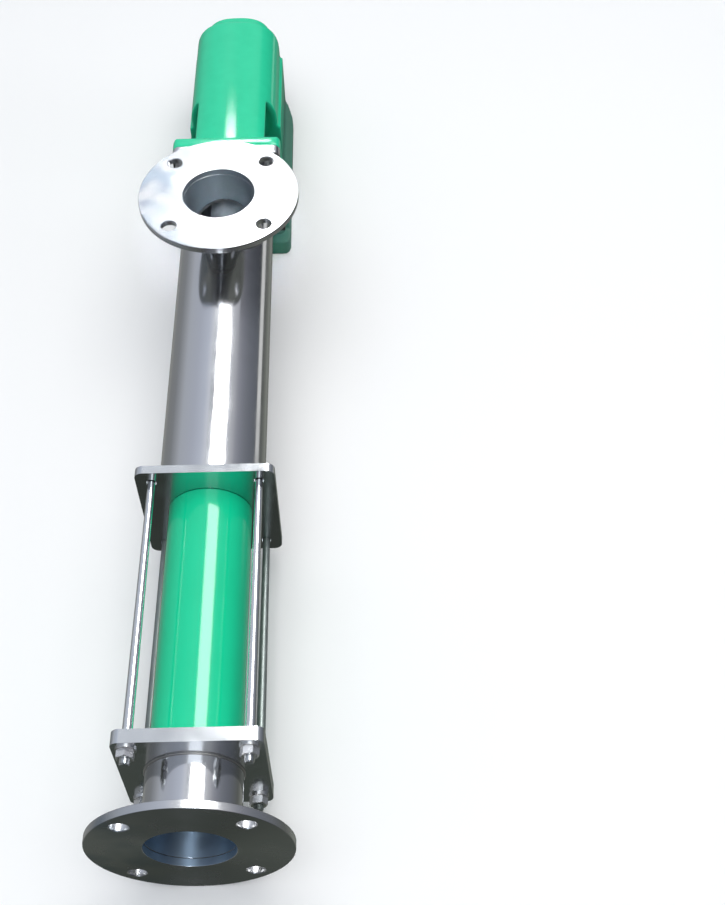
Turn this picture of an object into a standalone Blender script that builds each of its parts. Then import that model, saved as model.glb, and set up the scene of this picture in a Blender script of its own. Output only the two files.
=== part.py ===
"""Progressive cavity pump: a one-stage stainless steel pump with flanged ports and a cast bearing bracket.

Units are metres and +Z is up. The pump's axis lies along Y. Stations along it are measured from the face
of the discharge flange, towards the drive end, and heights from the axis. An empty on the axis puts the
middle of the length at Y = 0 and the floor at Z = 0.
"""

import math

import bmesh
import bpy
from mathutils import Matrix, Vector

GAP = 0.0003

# How far a cutter runs past the wall that it cuts
OVERRUN = 0.005

# Port flanges, DN 80: outside diameter 195, bolt circle 160, four holes of 18
FLANGE_RADIUS = 0.0975
FLANGE_THICK = 0.008
BOLT_CIRCLE_RADIUS = 0.080
BOLT_HOLE_RADIUS = 0.009
BOLT_COUNT = 4
PORT_RADIUS = 0.0435
PORT_PIPE_RADIUS = 0.0473

# Stations along the axis
END_PLATE_FRONT = 0.074
END_PLATE_THICK = 0.014
SIDE_PLATE_FRONT = 0.377
SIDE_PLATE_THICK = 0.010
CASING_PLATE_FRONT = 0.893
CASING_PLATE_THICK = 0.014
SUCTION_STATION = 0.776
LANTERN_START = 0.925
LANTERN_END = 1.045
HOUSING_END = 1.212
COVER_END = 1.239
SHAFT_END = 1.266

# Square plates and the rods that clamp the stator between them
END_PLATE_HALF = 0.071
SIDE_PLATE_HALF = 0.074
CASING_PLATE_HALF = 0.070
PLATE_CORNER = 0.009
PLATE_TOP = 0.072
ROD_OFFSET = 0.057
ROD_RADIUS = 0.005
ROD_STUD = 0.016
ROD_EDGE = 0.0008

END_PLATE_BORE = 0.038
SIDE_PLATE_BORE = 0.044

# Tubes
STATOR_RADIUS = 0.0455
STATOR_WALL = 0.0045
CASING_RADIUS = 0.0586
CASING_WALL = 0.004
SUCTION_FACE_HEIGHT = 0.107
NECK_LOW = 0.025

# Rotor, a single helix that rolls in the two-start cavity of the stator
ROTOR_RADIUS = 0.017
ECCENTRICITY = 0.007
CAVITY_CLEARANCE = 0.0012
STATOR_LEAD = 0.240
ROTOR_PROUD = 0.004
ROTOR_HEAD_START = 0.401
ROTOR_HEAD_END = 0.430
ROTOR_HEAD_RADIUS = 0.015

# Coupling rod and its two joints
JOINT_RADIUS = 0.024
ROTOR_JOINT_END = 0.478
SHAFT_JOINT_START = 0.818
SHAFT_JOINT_END = 0.870
JOINT_EDGE = 0.002
COUPLING_ROD_RADIUS = 0.011
PIN_RADIUS = 0.006
PIN_INSET = 0.001
PIN_EDGE = 0.0006

# Drive shaft, its key and its slinger
SHAFT_RADIUS = 0.0175
SHAFT_EDGE = 0.0015
RUNNING_GAP = 0.0004
KEY_HALF_WIDTH = 0.005
KEY_DEPTH = 0.005
KEY_PROUD = 0.003
KEY_INSET = 0.004
SLINGER_RADIUS = 0.030
SLINGER_START = 1.003
SLINGER_END = 1.007

# Packed gland
GLAND_BOX_RADIUS = 0.038
GLAND_BORE = 0.0255
GLAND_BOX_END = 0.953
PACKING_END = 0.945
FOLLOWER_NOSE = 0.946
FOLLOWER_START = 0.962
FOLLOWER_END = 0.972
FOLLOWER_HALF_HEIGHT = 0.031
FOLLOWER_FLAT = 0.012
FOLLOWER_EAR = 0.010
FOLLOWER_ROUNDING = 0.006
GLAND_STUD_OFFSET = 0.0315
GLAND_STUD_RADIUS = 0.004
GLAND_STUD_START = 0.9305
GLAND_STUD_PROUD = 0.014
GLAND_STUD_EDGE = 0.0006

# Bearing bracket, one iron casting. The housing is round below the axis. Above it the crown is lower and
# the shoulders squarer, as on a superellipse with this exponent.
FLOOR_DEPTH = FLANGE_RADIUS
FLANGE_LIFT = 0.001
HOUSING_HALF = 0.060
HOUSING_CROWN = 0.052
HOUSING_SQUARENESS = 2.6
HOUSING_ROUNDING = 0.004
HOUSING_FLARE = 0.008
SHELL_WALL = 0.009
SHELL_STEP = 0.001
CHEEK_HALF = 0.064
CHEEK_WALL = 0.010
CHEEK_TOP = -0.006
FOOT_HALF = 0.076
FOOT_THICK = 0.014
TOE_THICK = 0.022
FOOT_FRONT = 0.880
FOOT_SHOULDER = 1.160
FOOT_END = 1.203
HEEL_HALF = 0.066
FOOT_CORNER = 0.010
WINDOW_LOW = -0.062
WINDOW_HIGH = 0.037
WINDOW_INSET = 0.003
BRACKET_BORE = 0.040
FRONT_COVER_RADIUS = 0.038
FRONT_COVER_THICK = 0.0097
FOOT_HOLE_RADIUS = 0.007
FOOT_HOLES = ((0.036, 0.985), (-0.036, 0.985), (0.036, 1.178), (-0.036, 1.178))
COVER_INSET = 0.013
COVER_EDGE = 0.002

# How far the casting's members run into each other
BURY = 0.004


def clear_scene():
    for item in list(bpy.data.objects):
        bpy.data.objects.remove(item)


def finish(name, color, roughness, metallic):
    material = bpy.data.materials.new(name)
    material.use_nodes = True
    shader = material.node_tree.nodes["Principled BSDF"]
    shader.inputs["Base Color"].default_value = (*color, 1.0)
    shader.inputs["Roughness"].default_value = roughness
    shader.inputs["Metallic"].default_value = metallic
    return material


def add_object(name, bm, material):
    """A mesh object from a bmesh, its faces turned outwards, hung on the empty on the pump's axis."""
    bmesh.ops.remove_doubles(bm, verts=bm.verts, dist=1e-6)
    bmesh.ops.recalc_face_normals(bm, faces=bm.faces)
    mesh = bpy.data.meshes.new(name)
    bm.to_mesh(mesh)
    bm.free()
    mesh.shade_smooth()
    mesh.set_sharp_from_angle(angle=math.radians(35))
    item = bpy.data.objects.new(name, mesh)
    bpy.context.scene.collection.objects.link(item)
    item.parent = pump_axis
    if material is not None:
        mesh.materials.append(material)
    return item


def turned(name, profile, material=None, segments=48, axis="Y", center=(0, 0, 0)):
    """A solid of revolution. The profile's points are (radius, station) and close on themselves."""
    bm = bmesh.new()
    verts = [bm.verts.new((radius, station, 0)) for radius, station in profile]
    edges = [bm.edges.new((verts[i - 1], verts[i])) for i in range(len(verts))]
    bmesh.ops.spin(
        bm,
        geom=verts + edges,
        cent=(0, 0, 0),
        axis=(0, 1, 0),
        angle=2 * math.pi,
        steps=segments,
        use_merge=True,
    )
    bmesh.ops.remove_doubles(bm, verts=bm.verts, dist=1e-6)
    flat = [edge for edge in bm.edges if not edge.link_faces or edge.calc_length() < 1e-7]
    bmesh.ops.delete(bm, geom=flat, context="EDGES")
    if axis == "Z":
        bm.transform(Matrix.Rotation(math.pi / 2, 4, "X"))
    elif axis == "X":
        bm.transform(Matrix.Rotation(-math.pi / 2, 4, "Z"))
    item = add_object(name, bm, material)
    item.location = center
    return item


def tube(name, outer, inner, start, end, material=None, edge=0.0, **options):
    """A turned tube or ring, with its outer edges chamfered where edge is given."""
    profile = [(inner, start), (outer - edge, start)]
    if edge:
        profile += [(outer, start + edge), (outer, end - edge)]
    profile += [(outer - edge, end), (inner, end)]
    return turned(name, profile, material, **options)


def rod(name, radius, start, end, material=None, edge=0.0, **options):
    """A turned solid bar."""
    profile = [(0, start), (radius - edge, start)]
    if edge:
        profile += [(radius, start + edge), (radius, end - edge)]
    profile += [(radius - edge, end), (0, end)]
    return turned(name, profile, material, **options)


def slab(name, corners, start, end, material=None, rounding=0.0, steps=5, plane="XZ"):
    """An outline, given by its corners in order, drawn out from start to end with rounded corners."""
    bm = bmesh.new()
    outline = []
    count = len(corners)
    for i, corner in enumerate(corners):
        here = Vector(corner)
        before = (Vector(corners[i - 1]) - here).normalized()
        after = (Vector(corners[(i + 1) % count]) - here).normalized()
        if not rounding:
            outline.append(here)
            continue
        half = before.angle(after) / 2
        bisector = (before + after).normalized()
        center = here + bisector * rounding / math.sin(half)
        first = (here + before * rounding / math.tan(half) - center).normalized()
        last = (here + after * rounding / math.tan(half) - center).normalized()
        for step in range(steps + 1):
            outline.append(center + first.slerp(last, step / steps) * rounding)
    if plane == "XZ":
        points = [(p.x, start, p.y) for p in outline]
        draw = Vector((0, end - start, 0))
    else:
        points = [(p.x, p.y, start) for p in outline]
        draw = Vector((0, 0, end - start))
    face = bm.faces.new([bm.verts.new(point) for point in points])
    grown = bmesh.ops.extrude_face_region(bm, geom=[face])
    moved = [item for item in grown["geom"] if isinstance(item, bmesh.types.BMVert)]
    bmesh.ops.translate(bm, vec=draw, verts=moved)
    return add_object(name, bm, material)


def rectangle(half_width, low, high):
    return [(-half_width, low), (half_width, low), (half_width, high), (-half_width, high)]


def combine(item, other, operation):
    """A Boolean on the item. The other object only shapes it and isn't a piece itself."""
    other.hide_render = True
    other.display_type = "WIRE"
    modifier = item.modifiers.new(other.name, "BOOLEAN")
    modifier.operation = operation
    modifier.solver = "EXACT"
    modifier.object = other


def bolt_places(radius):
    """Centres of a flange's bolt holes, straddling its vertical and horizontal lines."""
    for i in range(BOLT_COUNT):
        angle = math.pi / 4 + i * 2 * math.pi / BOLT_COUNT
        yield radius * math.cos(angle), radius * math.sin(angle)


def corner_places(offset):
    for x in (-offset, offset):
        for z in (-offset, offset):
            yield x, z


def make_discharge():
    flange = tube("discharge_flange", FLANGE_RADIUS, PORT_RADIUS, 0, FLANGE_THICK, stainless, segments=60)
    for i, (x, z) in enumerate(bolt_places(BOLT_CIRCLE_RADIUS), start=1):
        hole = rod(f"discharge_bolt_hole_{i}", BOLT_HOLE_RADIUS, -OVERRUN, FLANGE_THICK + OVERRUN,
                   segments=16, center=(x, 0, z))
        combine(flange, hole, "DIFFERENCE")
    tube("discharge_pipe", PORT_PIPE_RADIUS, PORT_RADIUS, FLANGE_THICK + GAP, END_PLATE_FRONT - GAP,
         stainless)


def make_square_plate(name, half, front, thick, bore):
    plate = slab(name, rectangle(half, -half, half), front, front + thick, stainless, rounding=PLATE_CORNER)
    opening = rod(name + "_bore", bore, front - OVERRUN, front + thick + OVERRUN)
    combine(plate, opening, "DIFFERENCE")
    for i, (x, z) in enumerate(corner_places(ROD_OFFSET), start=1):
        hole = rod(f"{name}_rod_hole_{i}", ROD_RADIUS + GAP, front - OVERRUN, front + thick + OVERRUN,
                   segments=12, center=(x, 0, z))
        combine(plate, hole, "DIFFERENCE")


def make_tie_rods():
    names = ("lower_left", "upper_left", "lower_right", "upper_right")
    for place, (x, z) in zip(names, corner_places(ROD_OFFSET)):
        rod(f"tie_rod_{place}", ROD_RADIUS, END_PLATE_FRONT - ROD_STUD, SIDE_PLATE_FRONT + SIDE_PLATE_THICK,
            stainless, edge=ROD_EDGE, segments=12, center=(x, 0, z))


def lofted(name, rings, material):
    """A closed solid or tube from rings of points. Each ring is a list of loops with the same counts."""
    bm = bmesh.new()
    stations = [[[bm.verts.new(point) for point in loop] for loop in ring] for ring in rings]
    for first, second in zip(stations, stations[1:]):
        for loop_a, loop_b in zip(first, second):
            for i in range(len(loop_a)):
                bm.faces.new((loop_a[i - 1], loop_a[i], loop_b[i], loop_b[i - 1]))
    for ring in (stations[0], stations[-1]):
        if len(ring) == 1:
            bm.faces.new(ring[0])
            continue
        outer, inner = ring
        for i in range(len(outer)):
            bm.faces.new((outer[i - 1], outer[i], inner[i], inner[i - 1]))
    return add_object(name, bm, material)


def cavity_outline(radius, reach):
    """Half circles round two centres, joined by flats. The points run anticlockwise from the first centre."""
    arc_steps = 8
    flat_steps = 3
    points = []
    for side in (1, -1):
        for step in range(arc_steps + 1):
            angle = math.pi * (step / arc_steps - 0.5)
            points.append(side * Vector((reach + radius * math.cos(angle), radius * math.sin(angle))))
        for step in range(1, flat_steps):
            points.append(side * Vector((reach * (1 - 2 * step / flat_steps), radius)))
    return points


def make_stator():
    start = END_PLATE_FRONT + END_PLATE_THICK + GAP
    end = SIDE_PLATE_FRONT - GAP
    tube("stator_tube", STATOR_RADIUS, STATOR_RADIUS - STATOR_WALL, start, end, stator_green)
    outer_radius = STATOR_RADIUS - STATOR_WALL - GAP
    cavity = cavity_outline(ROTOR_RADIUS + CAVITY_CLEARANCE, 2 * ECCENTRICITY)
    sections = 24
    rings = []
    for step in range(sections + 1):
        station = start + (end - start) * step / sections
        twist = Matrix.Rotation(2 * math.pi * (station - start) / STATOR_LEAD, 2)
        inner = [twist @ point for point in cavity]
        outer = [point.normalized() * outer_radius for point in inner]
        rings.append([[(point.x, station, point.y) for point in loop] for loop in (outer, inner)])
    lofted("stator_rubber", rings, black_rubber)


def rotor_center(station):
    """Centre of the rotor's round section. Its own axis hangs one eccentricity below the pump's axis."""
    start = END_PLATE_FRONT + END_PLATE_THICK + GAP
    angle = 4 * math.pi * (station - start) / STATOR_LEAD + math.pi / 2
    return ECCENTRICITY * math.cos(angle), ECCENTRICITY * (math.sin(angle) - 1)


def make_rotor():
    start = END_PLATE_FRONT + END_PLATE_THICK - ROTOR_PROUD
    helix_end = SIDE_PLATE_FRONT + SIDE_PLATE_THICK + ROTOR_PROUD
    sides = 16
    sections = 44
    rings = []
    for step in range(sections + 1):
        station = start + (helix_end - start) * step / sections
        x, z = rotor_center(station)
        rings.append([circle_points(x, station, z, ROTOR_RADIUS, sides)])
    for station in (ROTOR_HEAD_START, ROTOR_HEAD_END):
        rings.append([circle_points(0, station, -ECCENTRICITY, ROTOR_HEAD_RADIUS, sides)])
    lofted("rotor", rings, polished_rotor)


def circle_points(x, station, z, radius, sides):
    points = []
    for i in range(sides):
        angle = 2 * math.pi * i / sides
        points.append((x + radius * math.cos(angle), station, z + radius * math.sin(angle)))
    return points


def make_joint(name, start, end, drop):
    """A pin joint's round body, with the cross pin that passes through it."""
    middle = (start + end) / 2
    center = (0, middle, -drop)
    body = rod(name, JOINT_RADIUS, start, end, machined_steel, edge=JOINT_EDGE, segments=28,
               center=(0, 0, -drop))
    pin_hole = rod(name + "_pin_hole", PIN_RADIUS + GAP, -JOINT_RADIUS - OVERRUN, JOINT_RADIUS + OVERRUN,
                   segments=12, axis="X", center=center)
    combine(body, pin_hole, "DIFFERENCE")
    reach = JOINT_RADIUS - PIN_INSET
    rod(name + "_pin", PIN_RADIUS, -reach, reach, machined_steel, edge=PIN_EDGE, segments=12, axis="X",
        center=center)


def make_drive_train():
    make_joint("rotor_joint", ROTOR_HEAD_END + GAP, ROTOR_JOINT_END, ECCENTRICITY)
    make_joint("shaft_joint", SHAFT_JOINT_START, SHAFT_JOINT_END, 0)
    length = SHAFT_JOINT_START - ROTOR_JOINT_END
    lean = math.atan2(ECCENTRICITY, length)
    reach = length / 2 - 2 * GAP
    coupling = rod("coupling_rod", COUPLING_ROD_RADIUS, -reach, reach, machined_steel, segments=20)
    coupling.location = (0, (SHAFT_JOINT_START + ROTOR_JOINT_END) / 2, -ECCENTRICITY / 2)
    coupling.rotation_euler = (lean, 0, 0)
    shaft = rod("drive_shaft", SHAFT_RADIUS, SHAFT_JOINT_END + GAP, SHAFT_END, machined_steel,
                edge=SHAFT_EDGE, segments=36)
    key_floor = SHAFT_RADIUS - KEY_DEPTH
    key_start = COVER_END + KEY_INSET
    key_end = SHAFT_END - KEY_INSET
    keyway = slab("keyway", rectangle(KEY_HALF_WIDTH, key_floor, SHAFT_RADIUS + OVERRUN), key_start, key_end)
    combine(shaft, keyway, "DIFFERENCE")
    slab("shaft_key", rectangle(KEY_HALF_WIDTH - GAP, key_floor + GAP, SHAFT_RADIUS + KEY_PROUD),
         key_start + GAP, key_end - GAP, machined_steel)
    tube("shaft_slinger", SLINGER_RADIUS, SHAFT_RADIUS + GAP, SLINGER_START, SLINGER_END, black_rubber,
         segments=32)


def make_suction():
    casing_start = SIDE_PLATE_FRONT + SIDE_PLATE_THICK + GAP
    casing = tube("suction_casing", CASING_RADIUS, CASING_RADIUS - CASING_WALL, casing_start,
                  CASING_PLATE_FRONT - GAP, stainless)
    port = rod("casing_port", PORT_RADIUS, NECK_LOW - OVERRUN, CASING_RADIUS + OVERRUN, axis="Z",
               center=(0, SUCTION_STATION, 0))
    combine(casing, port, "DIFFERENCE")
    flange_low = SUCTION_FACE_HEIGHT - FLANGE_THICK
    neck = tube("suction_neck", PORT_PIPE_RADIUS, PORT_RADIUS, NECK_LOW, flange_low - GAP, stainless,
                axis="Z", center=(0, SUCTION_STATION, 0))
    saddle_reach = PORT_PIPE_RADIUS + OVERRUN
    saddle = rod("neck_saddle", CASING_RADIUS + GAP, SUCTION_STATION - saddle_reach,
                 SUCTION_STATION + saddle_reach)
    combine(neck, saddle, "DIFFERENCE")
    flange = tube("suction_flange", FLANGE_RADIUS, PORT_RADIUS, flange_low, SUCTION_FACE_HEIGHT, stainless,
                  segments=60, axis="Z", center=(0, SUCTION_STATION, 0))
    for i, (x, y) in enumerate(bolt_places(BOLT_CIRCLE_RADIUS), start=1):
        hole = rod(f"suction_bolt_hole_{i}", BOLT_HOLE_RADIUS, flange_low - OVERRUN,
                   SUCTION_FACE_HEIGHT + OVERRUN, segments=16, axis="Z", center=(x, SUCTION_STATION + y, 0))
        combine(flange, hole, "DIFFERENCE")


def make_seal():
    plate_end = CASING_PLATE_FRONT + CASING_PLATE_THICK
    plate = slab("casing_end_plate", rectangle(CASING_PLATE_HALF, -PLATE_TOP, PLATE_TOP), CASING_PLATE_FRONT,
                 plate_end, stainless, rounding=PLATE_CORNER)
    shaft_bore = SHAFT_RADIUS + RUNNING_GAP
    opening = rod("casing_end_plate_bore", shaft_bore, CASING_PLATE_FRONT - OVERRUN, plate_end + OVERRUN,
                  segments=36)
    combine(plate, opening, "DIFFERENCE")
    box = tube("gland_box", GLAND_BOX_RADIUS, GLAND_BORE, plate_end + GAP, GLAND_BOX_END, stainless,
               segments=40)
    tube("gland_packing", GLAND_BORE - GAP, shaft_bore, plate_end + GAP, PACKING_END, graphite_packing,
         segments=32)
    ear = GLAND_STUD_OFFSET + FOLLOWER_EAR
    outline = [(-ear, -FOLLOWER_EAR), (-FOLLOWER_FLAT, -FOLLOWER_HALF_HEIGHT),
               (FOLLOWER_FLAT, -FOLLOWER_HALF_HEIGHT), (ear, -FOLLOWER_EAR),
               (ear, FOLLOWER_EAR), (FOLLOWER_FLAT, FOLLOWER_HALF_HEIGHT),
               (-FOLLOWER_FLAT, FOLLOWER_HALF_HEIGHT), (-ear, FOLLOWER_EAR)]
    follower = slab("gland_follower", outline, FOLLOWER_START, FOLLOWER_END, stainless,
                    rounding=FOLLOWER_ROUNDING, steps=3)
    nose = rod("follower_nose", GLAND_BORE - 2 * GAP, FOLLOWER_NOSE, FOLLOWER_START + OVERRUN, segments=32)
    combine(follower, nose, "UNION")
    running_bore = rod("follower_bore", shaft_bore, FOLLOWER_NOSE - OVERRUN, FOLLOWER_END + OVERRUN,
                       segments=32)
    combine(follower, running_bore, "DIFFERENCE")
    for side, x in (("left", -GLAND_STUD_OFFSET), ("right", GLAND_STUD_OFFSET)):
        for item in (box, follower):
            hole = rod(f"{item.name}_hole_{side}", GLAND_STUD_RADIUS + GAP, GLAND_STUD_START - GAP,
                       FOLLOWER_END + OVERRUN, segments=12, center=(x, 0, 0))
            combine(item, hole, "DIFFERENCE")
        rod(f"gland_stud_{side}", GLAND_STUD_RADIUS, GLAND_STUD_START, FOLLOWER_END + GLAND_STUD_PROUD,
            stainless, edge=GLAND_STUD_EDGE, segments=12, center=(x, 0, 0))


def housing_outline(station, offset):
    """The housing's outline at a station, grown or shrunk all round by the offset."""
    half = HOUSING_HALF + offset
    crown = HOUSING_CROWN + offset
    steps = 48
    points = []
    for step in range(steps):
        angle = 2 * math.pi * step / steps
        across = math.cos(angle)
        rise = math.sin(angle)
        if step < steps / 2:
            power = 2 / HOUSING_SQUARENESS
            x = half * math.copysign(abs(across) ** power, across)
            z = crown * rise ** power
        else:
            x = half * across
            z = half * rise
        points.append((x, station, z))
    return points


def make_housing():
    """The housing's solid: it flares out into the flange, and its far edge is rounded."""
    rings = [[housing_outline(LANTERN_START - BURY, HOUSING_FLARE)]]
    flare_steps = 3
    for step in range(flare_steps + 1):
        angle = math.pi / 2 * step / flare_steps
        station = LANTERN_START + HOUSING_FLARE * (1 - math.cos(angle))
        rings.append([housing_outline(station, HOUSING_FLARE * (1 - math.sin(angle)))])
    rounding_steps = 3
    for step in range(rounding_steps + 1):
        angle = math.pi / 2 * step / rounding_steps
        station = HOUSING_END - HOUSING_ROUNDING * (1 - math.sin(angle))
        rings.append([housing_outline(station, -HOUSING_ROUNDING * (1 - math.cos(angle)))])
    return lofted("bracket_housing", rings, None)


def make_bracket():
    """The casting: a flange, an open lantern round the gland, the bearing housing and a foot."""
    low = -FLOOR_DEPTH
    flange_start = CASING_PLATE_FRONT + CASING_PLATE_THICK + GAP
    outline = [(-FOOT_HALF, low + FLANGE_LIFT), (FOOT_HALF, low + FLANGE_LIFT),
               (CASING_PLATE_HALF, PLATE_TOP), (-CASING_PLATE_HALF, PLATE_TOP)]
    bracket = slab("bearing_bracket", outline, flange_start, LANTERN_START, cast_green, rounding=PLATE_CORNER,
                   steps=4)
    cheeks = slab("bracket_cheeks", rectangle(CHEEK_HALF, low + BURY, CHEEK_TOP), LANTERN_START - BURY,
                  FOOT_END)
    hollow = slab("cheek_hollow", rectangle(CHEEK_HALF - CHEEK_WALL, low, CHEEK_TOP + OVERRUN),
                  LANTERN_START - 2 * BURY, FOOT_END + OVERRUN)
    combine(cheeks, hollow, "DIFFERENCE")
    plan = [(-FOOT_HALF, FOOT_FRONT), (FOOT_HALF, FOOT_FRONT), (FOOT_HALF, FOOT_SHOULDER),
            (HEEL_HALF, FOOT_END), (-HEEL_HALF, FOOT_END), (-FOOT_HALF, FOOT_SHOULDER)]
    foot = slab("bracket_foot", plan, low, low + FOOT_THICK, rounding=FOOT_CORNER, steps=4, plane="XY")
    toe = slab("bracket_toe", rectangle(FOOT_HALF, FOOT_FRONT, LANTERN_START - BURY), low + FOOT_THICK / 2,
               low + TOE_THICK, rounding=FOOT_CORNER, steps=4, plane="XY")
    combine(foot, toe, "UNION")
    combine(bracket, cheeks, "UNION")
    combine(bracket, make_housing(), "UNION")
    combine(bracket, foot, "UNION")
    room_start = LANTERN_START + SHELL_STEP
    room = lofted("lantern_room", [[housing_outline(room_start, -SHELL_WALL)],
                                   [housing_outline(LANTERN_END, -SHELL_WALL)]], None)
    combine(bracket, room, "DIFFERENCE")
    bore = rod("bracket_bore", BRACKET_BORE, flange_start - OVERRUN, room_start + OVERRUN)
    combine(bracket, bore, "DIFFERENCE")
    shaft_bore = SHAFT_RADIUS + RUNNING_GAP
    passage = rod("shaft_passage", shaft_bore, LANTERN_END - OVERRUN, HOUSING_END + OVERRUN)
    combine(bracket, passage, "DIFFERENCE")
    windows = slab("lantern_windows", rectangle(CHEEK_HALF + OVERRUN, WINDOW_LOW, WINDOW_HIGH),
                   LANTERN_START + WINDOW_INSET, LANTERN_END - WINDOW_INSET)
    combine(bracket, windows, "DIFFERENCE")
    for i, (x, y) in enumerate(FOOT_HOLES, start=1):
        hole = rod(f"foot_hole_{i}", FOOT_HOLE_RADIUS, low - OVERRUN, low + FOOT_THICK + OVERRUN, segments=16,
                   axis="Z", center=(x, y, 0))
        combine(bracket, hole, "DIFFERENCE")
    tube("front_bearing_cover", FRONT_COVER_RADIUS, shaft_bore, LANTERN_END - FRONT_COVER_THICK,
         LANTERN_END - GAP, cast_green, segments=40)
    cover_start = HOUSING_END + GAP
    cover = lofted("rear_bearing_cover", [[housing_outline(cover_start, -COVER_INSET)],
                                          [housing_outline(COVER_END - COVER_EDGE, -COVER_INSET)],
                                          [housing_outline(COVER_END, -COVER_INSET - COVER_EDGE)]], cast_green)
    cover_bore = rod("rear_cover_bore", shaft_bore, cover_start - OVERRUN, COVER_END + OVERRUN, segments=40)
    combine(cover, cover_bore, "DIFFERENCE")


clear_scene()
stainless = finish("stainless steel", (0.62, 0.63, 0.65), 0.22, 1.0)
machined_steel = finish("machined steel", (0.50, 0.50, 0.50), 0.35, 1.0)
polished_rotor = finish("polished rotor steel", (0.70, 0.70, 0.71), 0.12, 1.0)
stator_green = finish("gloss green enamel", (0.02, 0.56, 0.27), 0.25, 0.0)
cast_green = finish("green enamel on casting", (0.05, 0.55, 0.30), 0.35, 0.0)
black_rubber = finish("nitrile rubber", (0.02, 0.02, 0.02), 0.60, 0.0)
graphite_packing = finish("graphite packing", (0.05, 0.05, 0.05), 0.70, 0.0)
pump_axis = bpy.data.objects.new("pump_axis", None)
bpy.context.scene.collection.objects.link(pump_axis)
pump_axis.location = (0, -SHAFT_END / 2, FLOOR_DEPTH)

make_discharge()
make_square_plate("discharge_end_plate", END_PLATE_HALF, END_PLATE_FRONT, END_PLATE_THICK, END_PLATE_BORE)
make_square_plate("suction_side_plate", SIDE_PLATE_HALF, SIDE_PLATE_FRONT, SIDE_PLATE_THICK, SIDE_PLATE_BORE)
make_tie_rods()
make_stator()
make_rotor()
make_drive_train()
make_suction()
make_seal()
make_bracket()
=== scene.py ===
"""A progressive cavity pump in polished stainless steel and green enamel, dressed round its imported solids.

Lengths are metres in the solids' own frame. The pump's axis runs along +Y from the discharge flange to the
drive end, +Z is up, and the pump stands on the floor at Z = 0. Stations are places along Y.
"""

import math

import bmesh
import bpy
from mathutils import Matrix, Vector


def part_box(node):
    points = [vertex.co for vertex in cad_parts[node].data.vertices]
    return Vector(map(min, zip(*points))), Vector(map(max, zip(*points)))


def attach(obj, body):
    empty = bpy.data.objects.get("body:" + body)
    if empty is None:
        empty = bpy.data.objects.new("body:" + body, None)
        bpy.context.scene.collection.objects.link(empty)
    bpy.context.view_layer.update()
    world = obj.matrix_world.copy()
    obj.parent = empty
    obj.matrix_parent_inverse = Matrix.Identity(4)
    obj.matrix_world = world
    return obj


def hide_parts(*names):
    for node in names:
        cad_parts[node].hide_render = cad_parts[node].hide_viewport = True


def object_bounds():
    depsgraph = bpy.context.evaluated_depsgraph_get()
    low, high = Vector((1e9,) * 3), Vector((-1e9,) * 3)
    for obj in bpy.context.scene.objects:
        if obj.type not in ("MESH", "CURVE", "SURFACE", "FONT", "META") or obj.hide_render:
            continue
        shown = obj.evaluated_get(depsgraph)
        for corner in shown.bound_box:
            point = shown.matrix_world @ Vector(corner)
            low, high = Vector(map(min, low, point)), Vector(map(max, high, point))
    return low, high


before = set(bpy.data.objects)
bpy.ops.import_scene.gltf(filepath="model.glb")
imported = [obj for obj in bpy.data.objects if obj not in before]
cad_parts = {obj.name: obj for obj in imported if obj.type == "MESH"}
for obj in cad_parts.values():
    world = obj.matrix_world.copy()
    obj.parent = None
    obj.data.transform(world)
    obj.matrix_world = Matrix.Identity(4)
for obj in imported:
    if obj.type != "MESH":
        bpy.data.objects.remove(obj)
cad_low, cad_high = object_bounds()

MM = 0.001
GAP = 0.3 * MM

# Where the axes lie, from the boxes of the round pieces
FACE_Y = cad_low.y
AXIS_Z = (cad_low.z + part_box("discharge_flange")[1].z) / 2
SUCTION_Y = (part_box("suction_flange")[0].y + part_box("suction_flange")[1].y) / 2
# The two coordinates across the pump's axis, which runs along Y, and across the suction port's, along Z
AXIS = (0, AXIS_Z)
PORT = (0, SUCTION_Y)

# Flanges and pipes
PORT_RADIUS = 43.5 * MM
BOLT_CIRCLE_RADIUS = 80 * MM
BOLT_HOLE_RADIUS = 9 * MM
FLANGE_EDGE = 0.7 * MM
TUBE_EDGE = 0.4 * MM
CASING_WALL = 4 * MM
STATOR_WALL = 4.5 * MM
NECK_START = AXIS_Z + 25 * MM
PORT_CUT_START = AXIS_Z + 20 * MM
PORT_CUT_END = AXIS_Z + 80 * MM
SADDLE_REACH = 60 * MM

# Weld beads: their sizes, how far they stand off a tube, and how far they are set back from its end
BEAD_RADIUS = 1.9 * MM
THIN_BEAD_RADIUS = 1.2 * MM
SADDLE_BEAD_RADIUS = 2.2 * MM
BEAD_PITCH = 2.4 * MM
BEAD_RIPPLE = 0.13
CASING_BEAD_LIFT = 0.2 * MM
PIPE_BEAD_LIFT = 0.3 * MM
SADDLE_BEAD_LIFT = 0.5 * MM
BEAD_SETBACK = 0.4 * MM
THIN_BEAD_SETBACK = 0.3 * MM

# Square plates and tie rods
PLATE_CORNER = 9 * MM
PLATE_EDGE = 0.7 * MM
END_PLATE_BORE = 38 * MM
SIDE_PLATE_BORE = 44 * MM
ROD_OFFSET = 57 * MM
ROD_PLACES = [(x, z) for x in (-ROD_OFFSET, ROD_OFFSET) for z in (-ROD_OFFSET, ROD_OFFSET)]
THREAD_PAST_PLATE = 3 * MM

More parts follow.
